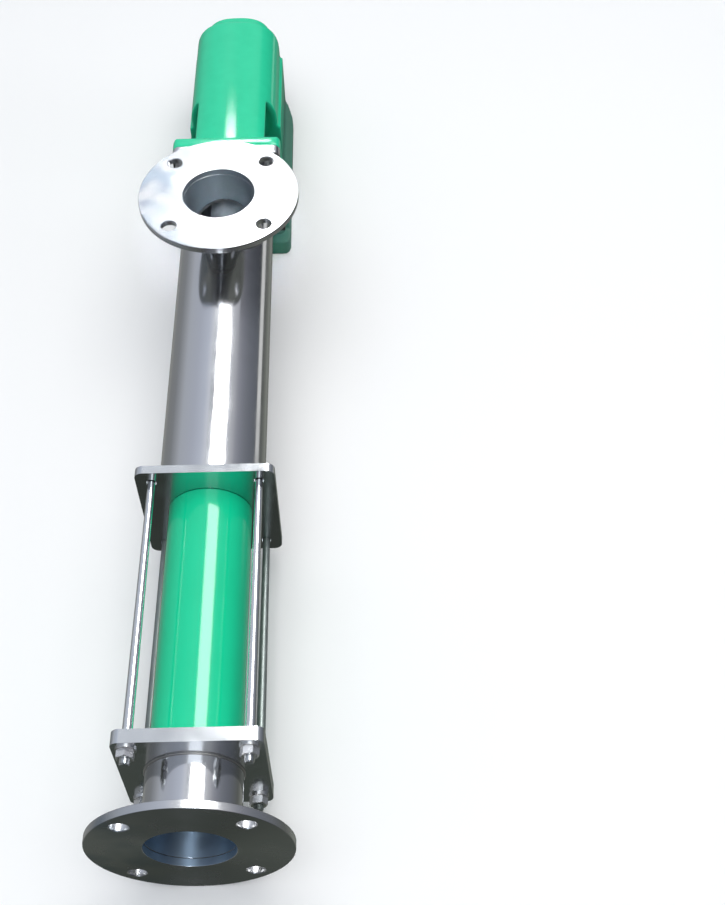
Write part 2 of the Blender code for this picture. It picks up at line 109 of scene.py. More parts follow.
# Fasteners: the names of their sizes, and the sizes of each kind
FASTENER_SIZES = ("Across Flats", "Height", "Bore Radius", "Washer Radius", "Washer Thickness")
M10_NUT = (16 * MM, 8.4 * MM, 5.1 * MM, 10 * MM, 1.6 * MM)
M10_HEAD = (16 * MM, 6.4 * MM, 5 * MM, 10 * MM, 1.6 * MM)
M8_NUT = (13 * MM, 6.5 * MM, 4.1 * MM, 8 * MM, 1.4 * MM)
M6_HEAD = (10 * MM, 4.2 * MM, 3 * MM, 6 * MM, 1.2 * MM)
M10_RADIUS = 5 * MM
M10_PITCH = 1.5 * MM
M8_PITCH = 1.25 * MM
THREAD_END_CHAMFER = 1 * MM
BOLT_END_LENGTH = 13 * MM
BOLT_END_ROOT = 4 * MM
COVER_SCREW_X = 31 * MM
COVER_SCREW_Z = 21 * MM
# A hexagon's end faces as a share of its width, the slope of its chamfers, and the seed of how it is turned
RIM_SHARE = 0.48
RIM_SLOPE = math.tan(math.radians(60))
TURN_SEED = 7

# Rotor and the cavity that it rolls in
ROTOR_RADIUS = 17 * MM
ROTOR_NOSE = 2 * MM
ROTOR_TAIL = 39 * MM
ROTOR_TAPER = 10 * MM
ROTOR_TAIL_RADIUS = 15 * MM
ECCENTRICITY = 7 * MM
CAVITY_CLEARANCE = 1.2 * MM
STATOR_LEAD = 240 * MM

# Shaft and gland
SHAFT_RADIUS = 17.5 * MM
RUNNING_GAP = 0.4 * MM
SHAFT_BORE = SHAFT_RADIUS + RUNNING_GAP
GLAND_STUD_OFFSET = 31.5 * MM
GLAND_STUD_RADIUS = 4 * MM
KEYWAY_TOP = AXIS_Z + 25 * MM
# The centre drill's outline: radius, and how far it lies past the shaft's end
CENTER_DRILL = ((0, -9 * MM), (2.5 * MM, -7 * MM), (2.5 * MM, -4 * MM), (6 * MM, 2 * MM), (0, 2 * MM))

# Bearing bracket
LANTERN_START = FACE_Y + 925 * MM
LANTERN_END = FACE_Y + 1045 * MM
HOUSING_END = FACE_Y + 1212 * MM
HOUSING_HALF = 60 * MM
HOUSING_CROWN = 52 * MM
HOUSING_SQUARENESS = 2.6
HOUSING_ROUNDING = 4 * MM
HOUSING_FLARE = 8 * MM
SHELL_WALL = 9 * MM
BRACKET_BORE = 40 * MM
PLATE_LOW = 1 * MM
PLATE_HALF = 70 * MM
PLATE_TOP = AXIS_Z + 72 * MM
CHEEK_HALF = 64 * MM
CHEEK_WALL = 10 * MM
CHEEK_TOP = AXIS_Z - 6 * MM
FOOT_HALF = 76 * MM
HEEL_HALF = 66 * MM
FOOT_THICK = 14 * MM
TOE_THICK = 22 * MM
FOOT_FRONT = FACE_Y + 880 * MM
FOOT_SHOULDER = FACE_Y + 1160 * MM
FOOT_END = FACE_Y + 1203 * MM
FOOT_CORNER = 10 * MM
FOOT_HOLE_RADIUS = 7 * MM
FOOT_HOLE_X = 36 * MM
FOOT_HOLE_STATIONS = (FACE_Y + 985 * MM, FACE_Y + 1178 * MM)
WINDOW_LOW = AXIS_Z - 62 * MM
WINDOW_HIGH = AXIS_Z + 37 * MM
WINDOW_INSET = 3 * MM
# How far the casting's members reach into each other, and the grain at which they grow together
BURY = 4 * MM
CAST_GRAIN = 2 * MM
# Flats under the bolts, cut into the casting
SPOT_FACE_DEPTH = 0.5 * MM
SPOT_FACE_RADIUS = 11 * MM
SPOT_FACE_REACH = 16 * MM
# Where bolts join the bracket to the casing's end plate: across, height and seat
BRACKET_BOLTS = [(x, AXIS_Z + height, wall - SPOT_FACE_DEPTH)
                 for height, reach, wall in ((51 * MM, 58 * MM, LANTERN_START),
                                             (-48 * MM, 56 * MM, LANTERN_START + WINDOW_INSET))
                 for x in (-reach, reach)]

# Bearing covers
COVER_INSET = 13 * MM
COVER_EDGE = 2.5 * MM
SEAL_WIDTH = 9 * MM
SEAL_DEPTH = 8 * MM
SEAL_RECESS = 1 * MM


def linear(code):
    """A linear RGBA colour from an sRGB hex code."""
    channels = [int(code[i:i + 2], 16) / 255 for i in (1, 3, 5)]
    return (*[c / 12.92 if c <= 0.04045 else ((c + 0.055) / 1.055) ** 2.4 for c in channels], 1.0)


def add(tree, kind, inputs=None, feeds=None, **settings):
    """A node with its settings. Each of its inputs takes a value, another node's output or a node, which
    stands for its first output in use. Each of its outputs can feed another node's input."""
    node = tree.nodes.new(kind)
    for name, value in settings.items():
        setattr(node, name, value)
    for name, value in (inputs or {}).items():
        if isinstance(value, bpy.types.Node):
            value = next(output for output in value.outputs if output.enabled)
        if isinstance(value, bpy.types.NodeSocket):
            tree.links.new(value, node.inputs[name])
        else:
            node.inputs[name].default_value = value
    for name, socket in (feeds or {}).items():
        tree.links.new(node.outputs[name], socket)
    return node


def place_object(name, data):
    """An object in the scene, at the origin."""
    item = bpy.data.objects.new(name, data)
    bpy.context.scene.collection.objects.link(item)
    return item


# Camera, lights and floor

FOCAL_PIXELS = 1297.31
PICTURE_HEIGHT = 905
SENSOR = 36
CAMERA_PLACE = Vector((0.161725, -1.071702, 1.262806))
# How far the camera looks down, turns left and rolls
CAMERA_PITCH, CAMERA_YAW, CAMERA_ROLL = (math.radians(angle) for angle in (52.517, -0.381, -0.987))

# Boxes of light that only show in reflections: place across and along, width, length and power
SOFT_BOX_HEIGHT = 2.2
SOFT_BOXES = {
    "near_soft_box": (0.58, 0.72, 1.15, 2.64, 105),
    "far_soft_box": (0.1, 2.4, 0.98, 0.7, 3.9),
    "flange_glint": (-0.2, 2.79, 0.22, 0.08, 4.5),
    "housing_glint": (-0.28, 2.85, 0.16, 0.1, 3),
}

# Angles round the pump's axis, from straight down over the left side, the top and the right side, and the
# brightness and tint that the studio has there. Every tube along the axis shows them as lengthwise bands.
STUDIO_BANDS = (
    (-180, "#606560"), (-172, "#454B45"), (-165, "#606560"), (-150, "#9A9C99"), (-128, "#8F9192"),
    (-104, "#95989C"), (-88, "#B0B4BA"), (-74, "#C8CDD6"), (-44, "#CCD2E0"), (-22, "#DCE3F2"),
    (-12, "#F2F6FF"), (-5, "#C8CCD2"), (34, "#E6E8EE"), (44, "#CDCFD6"), (54, "#ACAEB8"), (64, "#9A9DA8"),
    (75, "#8C9099"), (88, "#80848E"), (103, "#777B82"), (129, "#6C6F6B"), (152, "#8F928C"), (168, "#7C7F79"),
    (180, "#606560"),
)

# How the studio changes with the heading: along which axis, where the change starts and ends, and the values
# there. A gleam low on the right starts ahead, and the front, what lies below and the far right are dim.
STUDIO_FADES = {
    "gleam": ("Y", 0.52, 0.62, 0.0, 1.0),
    "front": ("Y", -0.7, -0.35, 0.3, 1.0),
    "below": ("Z", -0.3, 0.1, 0.15, 1.0),
    "far": ("Y", 0.682, 0.696, 1.0, 0.4),
}
# The middle and the reach of two sectors round the axis, in degrees as above
LOW_RIGHT = (115.5, 7)
RIGHT = (78, 30)


def aim_camera():
    """The photograph's view, fitted to the flanges, the plates and the tubes of the left pump."""
    data = bpy.data.cameras.new("camera")
    data.sensor_width = SENSOR
    data.lens = FOCAL_PIXELS / PICTURE_HEIGHT * SENSOR
    camera = place_object("camera", data)
    camera.matrix_world = (Matrix.Translation(CAMERA_PLACE) @ Matrix.Rotation(CAMERA_YAW, 4, "Z")
                           @ Matrix.Rotation(math.pi / 2 - CAMERA_PITCH, 4, "X")
                           @ Matrix.Rotation(CAMERA_ROLL, 4, "Z"))
    bpy.context.scene.camera = camera


def soft_light(name, place, target, width, length, power, color, diffuse=True, glossy=True, spread=180):
    data = bpy.data.lights.new(name, "AREA")
    data.shape = "RECTANGLE"
    data.size = width
    data.size_y = length
    data.energy = power
    data.color = linear(color)[:3]
    data.spread = math.radians(spread)
    light = place_object(name, data)
    light.location = place
    light.rotation_euler = (Vector(target) - Vector(place)).to_track_quat("-Z", "Y").to_euler()
    light.visible_camera = False
    light.visible_diffuse = diffuse
    light.visible_glossy = glossy


def hang_lights():
    """Soft boxes for the highlights, a soft ceiling, a little light from the front and the right, and two
    lights for the insides of the ports."""
    for name, (x, y, width, length, power) in SOFT_BOXES.items():
        soft_light(name, (x, y, SOFT_BOX_HEIGHT), (x, y, 0), width, length, power, "#FFFFFF", diffuse=False)
    middle = (0, 0.1, 0.1)
    soft_light("ceiling", (0.1, 0.1, 3.2), (0.1, 0.1, 0), 4.0, 4.0, 66, "#FFFEFA", glossy=False)
    soft_light("fill", (0.16, -1.3, 1.5), middle, 0.8, 0.8, 4, "#F4F8FF")
    soft_light("right_fill", (5, 0.1, 1.0), middle, 2.0, 2.0, 50, "#F4F8FF", glossy=False)
    soft_light("port_beam", (0.17, -1.15, 1.34), (0, SUCTION_Y, 0.15), 0.1, 0.1, 0.1, "#E8F2FF",
               glossy=False, spread=6)
    soft_light("bore_light", (0.15, -3.0, 1.6), (0, -0.6, 0.1), 0.4, 0.4, 14, "#E8F2FF", diffuse=False)


def build_studio():
    """The studio round the pump, grey and banded in reflections and plain behind the pump."""
    world = bpy.data.worlds.new("studio")
    bpy.context.scene.world = world
    world.use_nodes = True
    tree = world.node_tree
    tree.nodes.clear()
    heading = add(tree, "ShaderNodeTexCoord").outputs["Generated"]
    axes = add(tree, "ShaderNodeSeparateXYZ", {"Vector": heading}).outputs
    angle = add(tree, "ShaderNodeMath", {0: axes["X"], 1: axes["Z"]}, operation="ARCTAN2")
    turn = add(tree, "ShaderNodeMapRange", {"Value": angle, "From Min": -math.pi, "From Max": math.pi})
    bands = add(tree, "ShaderNodeValToRGB", {"Fac": turn})
    ramp = bands.color_ramp
    while len(ramp.elements) < len(STUDIO_BANDS):
        ramp.elements.new(0.5)
    for element, (degrees, color) in zip(ramp.elements, STUDIO_BANDS):
        element.position = (degrees + 180) / 360
        element.color = linear(color)
    fades = {}
    for name, (axis, start, end, first, last) in STUDIO_FADES.items():
        fades[name] = add(tree, "ShaderNodeMapRange", {"Value": axes[axis], "From Min": start,
                                                       "From Max": end, "To Min": first, "To Max": last})
    low_right, right = [
        add(tree, "ShaderNodeMath", {0: angle, 1: math.radians(middle), 2: math.radians(reach)},
            operation="COMPARE") for middle, reach in (LOW_RIGHT, RIGHT)]
    gleam = add(tree, "ShaderNodeMath", {0: low_right, 1: fades["gleam"]}, operation="MULTIPLY")
    shine = add(tree, "ShaderNodeMix", {"Factor": gleam, 6: bands, 7: linear("#F2F2F0")}, data_type="RGBA")
    corner = add(tree, "ShaderNodeMix", {"Factor": right, 2: 1.0, 3: fades["far"]})
    rays = add(tree, "ShaderNodeLightPath").outputs
    shade = add(tree, "ShaderNodeMix", {"Factor": rays["Is Diffuse Ray"], 2: corner, 3: fades["below"]})
    strength = add(tree, "ShaderNodeMath", {0: fades["front"], 1: shade}, operation="MULTIPLY")
    around = add(tree, "ShaderNodeBackground", {"Color": shine, "Strength": strength})
    behind = add(tree, "ShaderNodeBackground", {"Color": linear("#F4F4F3"), "Strength": 1.0})
    both = add(tree, "ShaderNodeMixShader", {"Fac": rays["Is Camera Ray"], 1: around, 2: behind})
    add(tree, "ShaderNodeOutputWorld", {"Surface": both})
    bpy.context.scene.view_settings.view_transform = "Standard"


def lay_floor():
    """A pale matt floor that takes the pump's shadow and stays out of its reflections."""
    reach = 30
    mesh = bpy.data.meshes.new("floor")
    corners = [(-reach, -reach, 0), (reach, -reach, 0), (reach, reach, 0), (-reach, reach, 0)]
    mesh.from_pydata(corners, [], [(0, 1, 2, 3)])
    floor = place_object("floor", mesh)
    mesh.materials.append(new_material("pale_studio_floor", "#F1F1EF", {"Roughness": 0.8}))
    floor.visible_glossy = False
    floor.visible_diffuse = False


# Materials. Sizes of patches and grains, and depths, are in millimetres.

def new_material(name, color, values):
    """A material whose shader has this colour and these values, and the object's own coordinates."""
    material = bpy.data.materials.new(name)
    material.use_nodes = True
    tree = material.node_tree
    shader = tree.nodes["Principled BSDF"]
    shader.inputs["Base Color"].default_value = linear(color)
    for socket, value in values.items():
        shader.inputs[socket].default_value = value
    add(tree, "ShaderNodeTexCoord", name="place")
    return material


def parts_of(material):
    """The tree, the shader and the object's own coordinates."""
    tree = material.node_tree
    return tree, tree.nodes["Principled BSDF"], tree.nodes["place"].outputs["Object"]


def patchy_gloss(material, size, low, high):
    """Roughness that drifts between two values over patches of this size."""
    tree, shader, place = parts_of(material)
    patches = add(tree, "ShaderNodeTexNoise", {"Vector": place, "Scale": 1 / (size * MM)})
    add(tree, "ShaderNodeMapRange",
        {"Value": patches, "From Min": 0.3, "From Max": 0.7, "To Min": low, "To Max": high},
        {"Result": shader.inputs["Roughness"]})


def patchy_color(material, size, first, second):
    """Colour that drifts between two hex codes over patches of this size."""
    tree, shader, place = parts_of(material)
    patches = add(tree, "ShaderNodeTexNoise", {"Vector": place, "Scale": 1 / (size * MM)})
    add(tree, "ShaderNodeMix", {"Factor": patches, 6: linear(first), 7: linear(second)},
        {2: shader.inputs["Base Color"]}, data_type="RGBA")


def relief(material, sizes, depth, detail=2.0):
    """Bumps of this depth, whose grains have these sizes along X, Y and Z. They lie on any bumps that the
    material has already, and a clear coat follows them."""
    tree, shader, place = parts_of(material)
    squeezed = add(tree, "ShaderNodeMapping",
                   {"Vector": place, "Scale": [1 / (size * MM) for size in sizes]})
    grains = add(tree, "ShaderNodeTexNoise", {"Vector": squeezed, "Scale": 1.0, "Detail": detail})
    bump = add(tree, "ShaderNodeBump", {"Height": grains, "Distance": depth * MM})
    for link in list(shader.inputs["Normal"].links):
        tree.links.new(link.from_socket, bump.inputs["Normal"])
    tree.links.new(bump.outputs["Normal"], shader.inputs["Normal"])
    if shader.inputs["Coat Weight"].default_value:
        tree.links.new(bump.outputs["Normal"], shader.inputs["Coat Normal"])


def polished_tube_steel(name, axis, color="#C6C7C9", wave=0.1):
    """Stainless steel tube, belt polished round its axis: a soft mirror with slow waves and faint rings. The
    belt's marks are really under 0.1 mm apart, and are drawn 1.6 mm apart so that they show."""
    material = new_material(name, color, {"Metallic": 1.0})
    patchy_gloss(material, 34, 0.09, 0.17)
    relief(material, (65, 65, 65), wave, detail=0.0)
    relief(material, across_and_along((45, 45), 1.6, axis), 0.004)
    return material


def dusty_bar_steel():
    """Stainless bar near the floor in painted shade: darker grey, its bright drawn finish dulled and patchy.
    """
    material = new_material("dusty_stainless_bar", "#7F8784", {"Metallic": 0.6})
    patchy_color(material, 14, "#6F7774", "#868E8B")
    patchy_gloss(material, 14, 0.34, 0.5)
    relief(material, (0.8, 0.8, 0.8), 0.02)
    return material


def ground_plate_steel():
    """Stainless plate, belt ground across its width: grey and satin, with short straight scratches. They are
    really as fine as the 0.1 mm grit, and are drawn 1.4 mm wide so that they show."""
    material = new_material("ground_stainless_plate", "#C8CBCD", {"Metallic": 1.0})
    patchy_gloss(material, 26, 0.12, 0.21)
    relief(material, (40, 1.4, 1.4), 0.008)
    return material


def turned_flange_steel(name, axis, center, dull, anisotropy):
    """Stainless flange, faced on a lathe: satin, with rings round the bore that spread the light across them,
    so it lies in two wedges, and with a painted bluish reflection in patches on its left. The tool really
    moved 0.3 mm a turn, and the rings are drawn 1.8 mm apart so that they show."""
    material = new_material(name, "#C4C5C6", {"Metallic": 1.0, "Anisotropic": anisotropy})
    tree, shader, place = parts_of(material)
    patchy_gloss(material, 30, dull - 0.03, dull + 0.03)
    across = add(tree, "ShaderNodeSeparateXYZ", {"Vector": place}).outputs["X"]
    # Painted reflection: towards the left the steel is tinted bluish in patches
    left = add(tree, "ShaderNodeMapRange", {"Value": across, "From Min": -15 * MM, "From Max": -65 * MM})
    wiped = add(tree, "ShaderNodeTexNoise", {"Vector": place, "Scale": 1 / (38 * MM), "Detail": 1.5})
    oily = add(tree, "ShaderNodeMapRange", {"Value": wiped, "From Min": 0.36, "From Max": 0.62})
    smear = add(tree, "ShaderNodeMath", {0: left, 1: oily}, operation="MULTIPLY")
    add(tree, "ShaderNodeMix", {"Factor": smear, 6: linear("#C6C7C8"), 7: linear("#A1ABB5")},
        {2: shader.inputs["Base Color"]}, data_type="RGBA")
    centered = add(tree, "ShaderNodeVectorMath", {0: place, 1: across_and_along(center, 0, axis)},
                   operation="SUBTRACT")
    outward = add(tree, "ShaderNodeVectorMath", {0: centered, 1: across_and_along((1, 1), 0, axis)},
                  {0: shader.inputs["Tangent"]}, operation="MULTIPLY")
    radius = add(tree, "ShaderNodeVectorMath", {0: outward}, operation="LENGTH")
    rings = add(tree, "ShaderNodeTexNoise", {"W": radius, "Scale": 1 / (1.8 * MM)}, noise_dimensions="1D")
    add(tree, "ShaderNodeBump", {"Height": rings, "Distance": 0.006 * MM},
        {"Normal": shader.inputs["Normal"]})
    return material


def pickled_bore_steel(name, color, metallic, axis):
    """Pickled inside of a stainless pipe, drawn rough round its bore: light falls on it in a lengthwise
    band. Each bore gets its own colour and metal share, lighter, darker and bluish as painted light, shade
    and reflection."""
    material = new_material(name, color, {"Metallic": metallic, "Anisotropic": 0.9})
    tree, shader, place = parts_of(material)
    patchy_gloss(material, 12, 0.38, 0.5)
    add(tree, "ShaderNodeCombineXYZ", {axis: 1.0}, {"Vector": shader.inputs["Tangent"]})
    relief(material, (1.5, 1.5, 1.5), 0.01)
    return material


def weld_steel():
    """Stainless weld metal, brushed after welding: duller and rougher than the tube, faintly straw."""
    material = new_material("brushed_weld_metal", "#C9C6C0", {"Metallic": 1.0, "Roughness": 0.3})
    patchy_color(material, 9, "#9C9C9D", "#A8A6A2")
    relief(material, (0.8, 0.8, 0.8), 0.02)
    return material


def fastener_steel():
    """Stainless nuts and bolts, cold headed and tumbled: bright, with a little blur."""
    material = new_material("tumbled_stainless_fasteners", "#E2E2E1", {"Metallic": 1.0})
    patchy_gloss(material, 4, 0.16, 0.3)
    return material


def stator_enamel():
    """Gloss enamel sprayed on steel tube: a saturated green with a sharp highlight and faint orange peel."""
    material = new_material("gloss_green_enamel", "#06CA93",
                            {"Roughness": 0.4, "Specular IOR Level": 0.0, "Coat Weight": 1.0,
                             "Coat Roughness": 0.13, "Coat IOR": 1.5})
    patchy_color(material, 45, "#05C68F", "#08CD96")
    relief(material, (3.2, 3.2, 3.2), 0.01, detail=1.0)
    return material


def casting_enamel():
    """Enamel brushed over a sand casting: softer gloss, with the sand's grain and a few lumps under it, and
    with painted shade that darkens it and dulls its gloss towards the foot."""
    material = new_material("green_enamel_on_casting", "#24CB98",
                            {"Roughness": 0.5, "Specular IOR Level": 0.05, "Coat Weight": 0.7,
                             "Coat Roughness": 0.06, "Coat IOR": 1.45})
    tree, shader, place = parts_of(material)
    patchy_color(material, 20, "#20C693", "#29D19E")
    paint = shader.inputs["Base Color"].links[0].from_socket
    # Painted shade: the paint turns dark grey-green and loses its coat towards the foot
    height = add(tree, "ShaderNodeSeparateXYZ", {"Vector": place}).outputs["Z"]
    drift = add(tree, "ShaderNodeTexNoise", {"Vector": place, "Scale": 1 / (16 * MM)})
    uneven = add(tree, "ShaderNodeMath", {0: drift, 1: 50 * MM, 2: height}, operation="MULTIPLY_ADD")
    dust = add(tree, "ShaderNodeMapRange",
               {"Value": uneven, "From Min": 110 * MM, "From Max": 52 * MM, "To Max": 0.85})
    add(tree, "ShaderNodeMix", {"Factor": dust, 6: paint, 7: linear("#4F625D")},
        {2: shader.inputs["Base Color"]}, data_type="RGBA")
    add(tree, "ShaderNodeMapRange", {"Value": dust, "To Min": 0.7, "To Max": 0.1},
        {"Result": shader.inputs["Coat Weight"]})
    relief(material, (9, 9, 9), 0.08)
    relief(material, (2.2, 2.2, 2.2), 0.05, detail=3.0)
    return material


def chromed_rotor_steel():
    """Hard chrome on a ground rotor: a clean cool mirror."""
    material = new_material("hard_chromed_steel", "#CDD0D3", {"Metallic": 1.0})
    patchy_gloss(material, 12, 0.05, 0.14)
    return material


def turned_steel():
    """Carbon steel from the lathe under a film of oil: darker than stainless, with close tool marks. They are
    really 0.2 mm apart, and are drawn 1.2 mm apart so that they show."""
    material = new_material("turned_oiled_steel", "#8E8C88", {"Metallic": 1.0})
    patchy_gloss(material, 10, 0.2, 0.38)
    relief(material, (25, 1.2, 25), 0.008)
    return material


def phosphated_steel():
    """Steel under a zinc phosphate coat: matt mid grey, with the coat's fine crystals."""
    material = new_material("phosphated_steel", "#8D9193", {"Roughness": 0.55, "Metallic": 0.3})
    patchy_color(material, 7, "#818587", "#989C9E")
    relief(material, (0.9, 0.9, 0.9), 0.01)
    return material


def moulded_rubber():
    """Moulded nitrile rubber: near black and matt, with a faint bloom."""
    material = new_material("moulded_nitrile_rubber", "#1C1D1E",
                            {"Roughness": 0.62, "Specular IOR Level": 0.4})
    patchy_color(material, 8, "#161718", "#27282A")
    relief(material, (1.5, 1.5, 1.5), 0.02)
    return material


def braided_packing():
    """Graphited braid: dull dark grey strands that cross every few millimetres."""
    material = new_material("graphited_braided_packing", "#2B2C2D", {"Roughness": 0.55, "Metallic": 0.2})
    tree, shader, place = parts_of(material)
    strands = add(tree, "ShaderNodeTexVoronoi", {"Vector": place, "Scale": 1 / (2.5 * MM)})
    add(tree, "ShaderNodeMix", {"Factor": strands, 6: linear("#3A3B3D"), 7: linear("#141415")},
        {2: shader.inputs["Base Color"]}, data_type="RGBA")
    add(tree, "ShaderNodeBump", {"Height": strands, "Distance": 0.3 * MM},
        {"Normal": shader.inputs["Normal"]}, invert=True)
    return material


# Shapes

def across_and_along(across, along, axis):
    """A point from its two coordinates across an axis and the one along it."""
    point = list(across)
    point.insert("XYZ".index(axis), along)
    return point


def circle(radius, along, axis="Y", center=AXIS, steps=120):
    """Points round an axis through the centre."""
    points = []
    for step in range(steps):
        angle = 2 * math.pi * step / steps
        across = (center[0] + radius * math.cos(angle), center[1] + radius * math.sin(angle))
        points.append(across_and_along(across, along, axis))
    return points


def new_object(name, bm):
    """A mesh object from a bmesh, with its doubles merged and its faces turned outwards."""
    bmesh.ops.remove_doubles(bm, verts=bm.verts, dist=1e-7)
    bmesh.ops.recalc_face_normals(bm, faces=bm.faces)
    mesh = bpy.data.meshes.new(name)
    bm.to_mesh(mesh)
    bm.free()
    return place_object(name, mesh)


def settle(item):
    """Leaves the object a plain mesh with what its modifiers made."""
    graph = bpy.context.evaluated_depsgraph_get()
    mesh = bpy.data.meshes.new_from_object(item.evaluated_get(graph), depsgraph=graph)
    item.modifiers.clear()
    item.data = mesh
    mesh.name = item.name


def smooth(item, edge, sharp):
    """Softens the edges over the sharp angle by a small bevel where asked, and shades the rest smooth."""
    item.data.shade_smooth()
    item.data.set_sharp_from_angle(angle=math.radians(sharp))
    if edge:
        bevel = item.modifiers.new("edges", "BEVEL")
        bevel.width = edge
        bevel.segments = 2
        bevel.limit_method = "ANGLE"
        bevel.angle_limit = math.radians(sharp)
        settle(item)
        item.data.shade_smooth()
        item.data.set_sharp_from_angle(angle=math.radians(sharp))
    weights = item.modifiers.new("normals", "WEIGHTED_NORMAL")
    weights.keep_sharp = True
    settle(item)


def cut(item, *others, operation="DIFFERENCE"):
    """Boolean with the other objects, which are used up."""
    for other in others:
        modifier = item.modifiers.new(other.name, "BOOLEAN")
        modifier.operation = operation
        modifier.solver = "EXACT"
        modifier.object = other
    settle(item)
    for other in others:
        bpy.data.objects.remove(other)


def rounded(corners, radius, steps=4):
    """A closed outline whose square corners get this radius. Corners where the first number is 0 stay."""
    outline = []
    count = len(corners)
    for i, corner in enumerate(corners):
        here = Vector(corner)
        before = Vector(corners[i - 1]) - here
        after = Vector(corners[(i + 1) % count]) - here
        reach = min(radius, before.length * 0.45, after.length * 0.45)
        if abs(here.x) < 1e-6 or reach < 1e-6:
            outline.append(here)
            continue
        before.normalize()
        after.normalize()
        half = before.angle(after) / 2
        bend = reach * math.tan(half)
        center = here + (before + after).normalized() * bend / math.sin(half)
        first = (here + before * reach - center).normalized()
        last = (here + after * reach - center).normalized()
        for step in range(steps + 1):
            outline.append(center + first.slerp(last, step / steps) * bend)
    return outline


def turned(name, profile, axis="Y", center=AXIS, steps=160):
    """A solid of revolution. The profile's points are (radius, place along the axis)."""
    bm = bmesh.new()
    loops = []
    for radius, along in profile:
        points = circle(radius, along, axis, center, 1 if radius < 1e-6 else steps)
        loops.append([bm.verts.new(point) for point in points])
    for i, loop in enumerate(loops):
        last = loops[i - 1]
        for step in range(steps):
            following = (step + 1) % steps
            corners = [last[step % len(last)], loop[step % len(loop)],
                       loop[following % len(loop)], last[following % len(last)]]
            corners = list(dict.fromkeys(corners))
            if len(corners) > 2:
                bm.faces.new(corners)
    return new_object(name, bm)


def bar(name, radius, low, high, edge=0.0, **options):
    return turned(name, rounded([(0, low), (radius, low), (radius, high), (0, high)], edge), **options)


def ring(name, outer, inner, low, high, edge=0.0, **options):
    profile = [(inner, low), (outer, low), (outer, high), (inner, high)]
    return turned(name, rounded(profile, edge, steps=3), **options)


def hole_cutter(name, radius, low, high, chamfer=0.8 * MM, **options):
    """A cutter for a drilled hole whose two mouths are countersunk a little."""
    over = 1 * MM
    mouth = radius + chamfer + over
    profile = [(0, low - over), (mouth, low - over), (radius, low + chamfer), (radius, high - chamfer),
               (mouth, high + over), (0, high + over)]
    return turned(name, profile, steps=48, **options)


def slab(name, outline, low, high, axis="Y"):
    """An outline across an axis, drawn out from low to high along it."""
    bm = bmesh.new()
    face = bm.faces.new([bm.verts.new(across_and_along(point, low, axis)) for point in outline])
    grown = bmesh.ops.extrude_face_region(bm, geom=[face])
    moved = [item for item in grown["geom"] if isinstance(item, bmesh.types.BMVert)]
    bmesh.ops.translate(bm, vec=across_and_along((0, 0), high - low, axis), verts=moved)
    return new_object(name, bm)


def rectangle(half, low, high):
    return [(-half, low), (half, low), (half, high), (-half, high)]


def lofted(name, rings):
    """A closed solid or tube from rings of points. Each ring is a list of loops with the same counts."""
    bm = bmesh.new()
    stations = [[[bm.verts.new(point) for point in loop] for loop in each] for each in rings]
    for first, second in zip(stations, stations[1:]):
        for loop_a, loop_b in zip(first, second):
            for i in range(len(loop_a)):
                bm.faces.new((loop_a[i - 1], loop_a[i], loop_b[i], loop_b[i - 1]))
    for end in (stations[0], stations[-1]):
        if len(end) == 1:
            bm.faces.new(end[0])
            continue
        outer, inner = end
        for i in range(len(outer)):
            bm.faces.new((outer[i - 1], outer[i], inner[i], inner[i - 1]))
    return new_object(name, bm)


def wear(item, material, slot, *nodes):
    """Gives the piece its material and its body, and hides the nodes that it stands for. The slot is not
    used.
    """
    item.data.materials.clear()
    item.data.materials.append(material)
    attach(item, "root")
    if nodes:
        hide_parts(*nodes)


def dress(item, material, slot, *nodes, edge=0.0, sharp=38):
    """Softens and shades a piece, and dresses it."""
    smooth(item, edge, sharp)
    wear(item, material, slot, *nodes)


def finish_node(node, material, slot, edge):
    """A copy of a plain solid with its doubles merged, its edges softened and its round faces smooth."""
    bm = bmesh.new()
    bm.from_mesh(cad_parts[node].data)
    bmesh.ops.remove_doubles(bm, verts=bm.verts, dist=1e-6)
    bmesh.ops.dissolve_limit(bm, angle_limit=math.radians(1), verts=bm.verts, edges=bm.edges)
    dress(new_object(node + "_finished", bm), material, slot, node, edge=edge)


def line_bore(item, material, radius, axis="Y", center=AXIS):
    """Gives the faces within this radius of an axis the pipe's inside finish."""
    item.data.materials.append(material)
    across = [i for i in range(3) if "XYZ"[i] != axis]
    for face in item.data.polygons:
        offset = math.dist([face.center[i] for i in across], center)
        if offset < radius + 0.1 * MM:
            face.material_index = 1


def span(node, axis="Y"):
    """Where a node starts and ends along an axis."""
    return [corner["XYZ".index(axis)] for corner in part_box(node)]


def half_width(node):
    low, high = span(node, "X")
    return (high - low) / 2


# Geometry Nodes

def new_tree(name, sockets):
    """A Geometry Nodes tree with a geometry input and output, and named inputs of these kinds."""
    tree = bpy.data.node_groups.new(name, "GeometryNodeTree")
    tree.interface.new_socket("Geometry", in_out="INPUT", socket_type="NodeSocketGeometry")
    tree.interface.new_socket("Geometry", in_out="OUTPUT", socket_type="NodeSocketGeometry")
    for label, kind in sockets.items():
        tree.interface.new_socket(label, in_out="INPUT", socket_type=kind)
    return tree, add(tree, "NodeGroupInput").outputs


def close_tree(tree, geometry, material):
    """Realizes what the tree made, sets its material and sends it out."""
    real = add(tree, "GeometryNodeRealizeInstances", {"Geometry": geometry})
    painted = add(tree, "GeometryNodeSetMaterial", {"Geometry": real, "Material": material})
    add(tree, "NodeGroupOutput", {"Geometry": painted})


def grow(name, seed_data, tree, sizes):
    """Runs a tree on a seed of points or curves, and gives a plain mesh object."""
    seed = place_object(name + "_seed", seed_data)
    modifier = seed.modifiers.new(name, "NODES")
    modifier.node_group = tree
    for socket in tree.interface.items_tree:
        if socket.in_out == "INPUT" and socket.name in sizes:
            modifier[socket.identifier] = sizes[socket.name]
    graph = bpy.context.evaluated_depsgraph_get()
    mesh = bpy.data.meshes.new_from_object(seed.evaluated_get(graph), depsgraph=graph)
    bpy.data.objects.remove(seed)
    mesh.name = name
    return place_object(name, mesh)


